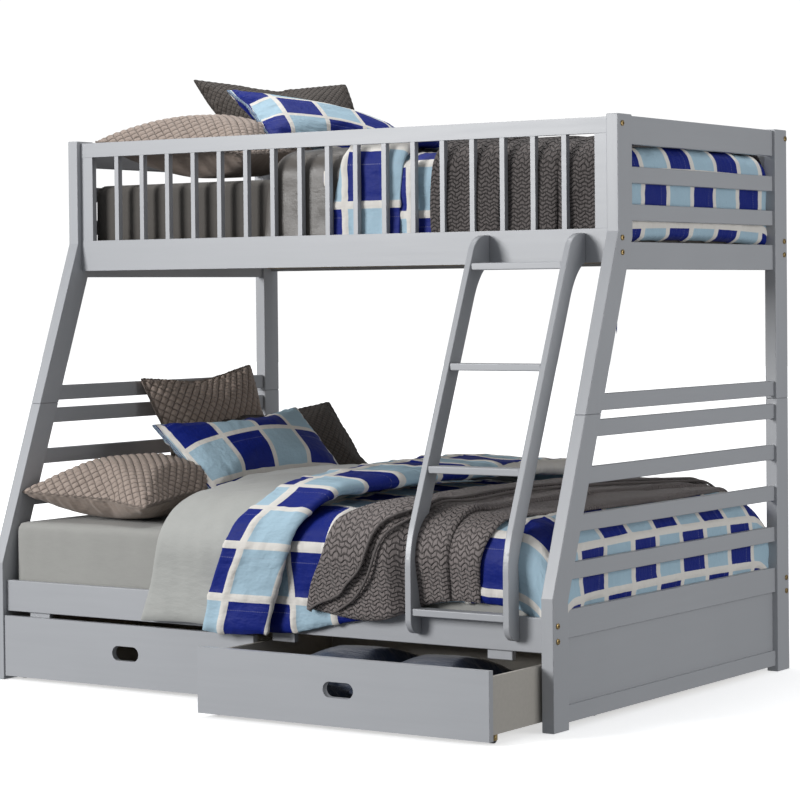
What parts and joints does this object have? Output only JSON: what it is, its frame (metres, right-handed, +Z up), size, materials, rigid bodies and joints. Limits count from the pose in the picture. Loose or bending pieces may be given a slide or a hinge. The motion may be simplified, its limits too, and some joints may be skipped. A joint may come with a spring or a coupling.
{
  "type": "bunk bed with ladder",
  "caption": "Bunk bed whose front slopes back to a narrower upper bunk, with guard rails, a bolted ladder, two rolling drawers and made-up bedding.",
  "frame": {"origin": "on the floor, at the middle of the whole object's box in X and Y", "axes": "+X towards the foot end, -Y towards the front with the ladder and drawers, +Z up"},
  "size_m": [2, 1.683, 1.888],
  "materials": {
    "frame_paint": "satin cool grey paint on wood",
    "drawer_box": "matt grey-beige foil on board",
    "slat_wood": "bare planed pine",
    "wheel": "matt black nylon",
    "bolt_brass": "antique brass plate",
    "wheel_bracket": "yellow zinc plated steel",
    "fitted_sheet": "plain woven cotton",
    "duvet_cover": "woven cotton with royal blue, light blue and cream squares",
    "duvet_reverse": "plain sateen",
    "throw_quilt": "crinkled matelasse quilt",
    "quilted_pillow": "diamond-quilted microfibre",
    "checked_pillow": "woven cotton squares with a flat flange",
    "stored_cushion": "navy sateen"
  },
  "bodies": {
    "frame": {"foot_kick_panel": "frame_paint", "foot_middle_board": "frame_paint", "foot_slat_1": "frame_paint", "foot_slat_2": "frame_paint", "foot_slat_3": "frame_paint", "foot_slat_4": "frame_paint", "foot_slat_5": "frame_paint", "foot_slat_6": "frame_paint", "foot_slat_7": "frame_paint", "foot_top_board": "frame_paint", "front_foot_post_lower": "frame_paint", "front_foot_post_upper": "frame_paint", "front_head_post_lower": "frame_paint", "front_head_post_upper": "frame_paint", "front_side_panel_upper": "frame_paint", "front_side_rail_lower": "frame_paint", "head_kick_panel": "frame_paint", "head_middle_board": "frame_paint", "head_slat_1": "frame_paint", "head_slat_2": "frame_paint", "head_slat_3": "frame_paint", "head_slat_4": "frame_paint", "head_slat_5": "frame_paint", "head_slat_6": "frame_paint", "head_slat_7": "frame_paint", "head_top_board": "frame_paint", "ladder_rung_1": "frame_paint", "ladder_rung_2": "frame_paint", "ladder_rung_3": "frame_paint", "ladder_rung_4": "frame_paint", "ladder_stile_left": "frame_paint", "ladder_stile_right": "frame_paint", "lower_duvet_and_throw": "duvet_cover", "lower_mattress": "fitted_sheet", "lower_pillow_lying": "quilted_pillow", "lower_pillows_leaning": "checked_pillow", "rear_foot_post_lower": "frame_paint", "rear_foot_post_upper": "frame_paint", "rear_head_post_lower": "frame_paint", "rear_head_post_upper": "frame_paint", "rear_side_panel_upper": "frame_paint", "rear_side_rail_lower": "frame_paint", "slat_deck_lower": "slat_wood", "slat_deck_upper": "slat_wood", "upper_duvet_and_throw": "duvet_cover", "upper_mattress": "fitted_sheet", "upper_pillow_lying": "quilted_pillow", "upper_pillows_leaning": "checked_pillow"},
    "drawer_left": {"drawer_box_left": "drawer_box", "drawer_front_left": "frame_paint"},
    "drawer_right": {"drawer_box_right": "drawer_box", "drawer_front_right": "frame_paint"},
    "wheel_left_front_left": {"drawer_wheel_left_front_left": "wheel"},
    "wheel_left_front_right": {"drawer_wheel_left_front_right": "wheel"},
    "wheel_left_rear_left": {"drawer_wheel_left_rear_left": "wheel"},
    "wheel_left_rear_right": {"drawer_wheel_left_rear_right": "wheel"},
    "wheel_right_front_left": {"drawer_wheel_right_front_left": "wheel"},
    "wheel_right_front_right": {"drawer_wheel_right_front_right": "wheel"},
    "wheel_right_rear_left": {"drawer_wheel_right_rear_left": "wheel"},
    "wheel_right_rear_right": {"drawer_wheel_right_rear_right": "wheel"}
  },
  "joints": [
    {"name": "drawer_left_slide", "type": "slide", "parent": "frame", "child": "drawer_left", "axis": [0, -1, 0], "range_m": [0, 0.5]},
    {"name": "drawer_right_slide", "type": "slide", "parent": "frame", "child": "drawer_right", "axis": [0, -1, 0], "range_m": [-0.263, 0.237]},
    {"name": "wheel_left_front_left_spin", "type": "hinge", "parent": "drawer_left", "child": "wheel_left_front_left", "pos_m": [-0.932, -0.5195, 0.016], "axis": [1, 0, 0], "continuous": true},
    {"name": "wheel_left_front_right_spin", "type": "hinge", "parent": "drawer_left", "child": "wheel_left_front_right", "pos_m": [-0.03, -0.5195, 0.016], "axis": [1, 0, 0], "continuous": true},
    {"name": "wheel_left_rear_left_spin", "type": "hinge", "parent": "drawer_left", "child": "wheel_left_rear_left", "pos_m": [-0.932, 0.0035, 0.016], "axis": [1, 0, 0], "continuous": true},
    {"name": "wheel_left_rear_right_spin", "type": "hinge", "parent": "drawer_left", "child": "wheel_left_rear_right", "pos_m": [-0.03, 0.0035, 0.016], "axis": [1, 0, 0], "continuous": true},
    {"name": "wheel_right_front_left_spin", "type": "hinge", "parent": "drawer_right", "child": "wheel_right_front_left", "pos_m": [0.03, -0.7825, 0.016], "axis": [1, 0, 0], "continuous": true},
    {"name": "wheel_right_front_right_spin", "type": "hinge", "parent": "drawer_right", "child": "wheel_right_front_right", "pos_m": [0.932, -0.7825, 0.016], "axis": [1, 0, 0], "continuous": true},
    {"name": "wheel_right_rear_left_spin", "type": "hinge", "parent": "drawer_right", "child": "wheel_right_rear_left", "pos_m": [0.03, -0.2595, 0.016], "axis": [1, 0, 0], "continuous": true},
    {"name": "wheel_right_rear_right_spin", "type": "hinge", "parent": "drawer_right", "child": "wheel_right_rear_right", "pos_m": [0.932, -0.2595, 0.016], "axis": [1, 0, 0], "continuous": true}
  ],
  "couplings": [
    {"joint": "wheel_left_front_left_spin", "follows": "drawer_left_slide", "rad_per_m": 62.5},
    {"joint": "wheel_left_front_right_spin", "follows": "drawer_left_slide", "rad_per_m": 62.5},
    {"joint": "wheel_left_rear_left_spin", "follows": "drawer_left_slide", "rad_per_m": 62.5},
    {"joint": "wheel_left_rear_right_spin", "follows": "drawer_left_slide", "rad_per_m": 62.5},
    {"joint": "wheel_right_front_left_spin", "follows": "drawer_right_slide", "rad_per_m": 62.5},
    {"joint": "wheel_right_front_right_spin", "follows": "drawer_right_slide", "rad_per_m": 62.5},
    {"joint": "wheel_right_rear_left_spin", "follows": "drawer_right_slide", "rad_per_m": 62.5},
    {"joint": "wheel_right_rear_right_spin", "follows": "drawer_right_slide", "rad_per_m": 62.5}
  ]
}
